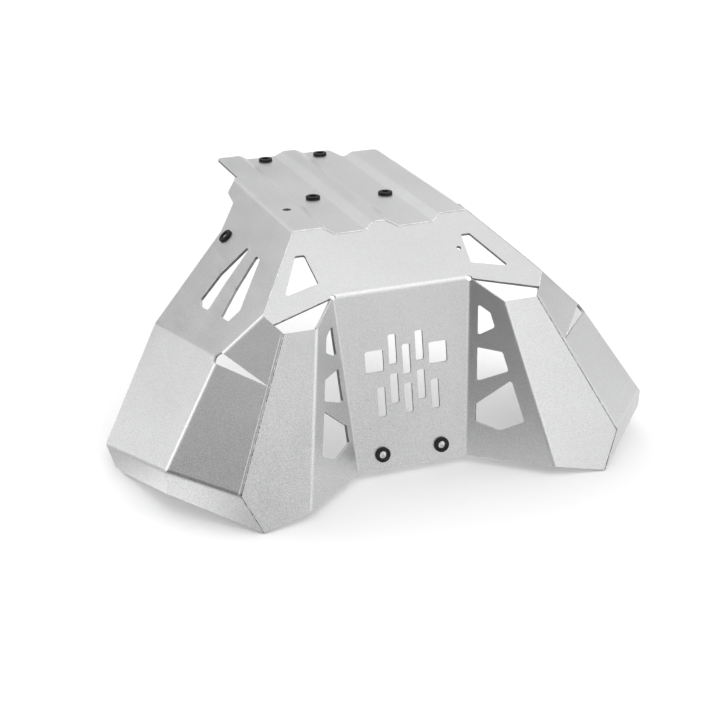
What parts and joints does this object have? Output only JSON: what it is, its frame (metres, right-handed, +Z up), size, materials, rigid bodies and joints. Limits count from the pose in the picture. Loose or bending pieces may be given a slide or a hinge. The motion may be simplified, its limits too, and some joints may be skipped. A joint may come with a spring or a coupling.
{
  "type": "motorcycle skid plate",
  "caption": "Folded sheet-metal motorcycle skid plate with a ribbed belly, slotted front panel, flared wings and rubber-bushed bolt holes, lying belly up.",
  "frame": {"origin": "on the floor under the middle of the outline, the plate lying belly up on its wing tips and side lips", "axes": "+Y towards the rear of the motorcycle, +Z up as it lies (down when mounted), +X across to the side where the belly is offset"},
  "size_m": [0.577, 0.4896, 0.2413],
  "materials": {
    "sheet": "bead-blasted, clear anodised",
    "rubber": "matt black",
    "sleeve": "turned",
    "weld": "as welded, blasted"
  },
  "bodies": {
    "root": {"belly_panel": "sheet", "side_left": "sheet", "side_right": "sheet", "front_shield": "sheet", "grommet_belly_front_left": "rubber", "grommet_belly_front_right": "rubber", "grommet_belly_rear_left": "rubber", "grommet_belly_rear_right": "rubber", "grommet_centre_left": "rubber", "grommet_centre_right": "rubber", "grommet_flank_left": "rubber", "grommet_flank_right": "rubber", "sleeve_belly_front_left": "sleeve", "sleeve_belly_front_right": "sleeve", "sleeve_belly_rear_left": "sleeve", "sleeve_belly_rear_right": "sleeve", "sleeve_centre_left": "sleeve", "sleeve_centre_right": "sleeve", "sleeve_flank_left": "sleeve", "sleeve_flank_right": "sleeve", "weld_nose_top": "weld", "weld_nose_left": "weld", "weld_nose_right": "weld", "weld_gill_left": "weld", "weld_gill_right": "weld", "weld_wing_left": "weld", "weld_wing_right": "weld", "weld_lip_left": "weld", "weld_lip_right": "weld"}
  },
  "joints": []
}
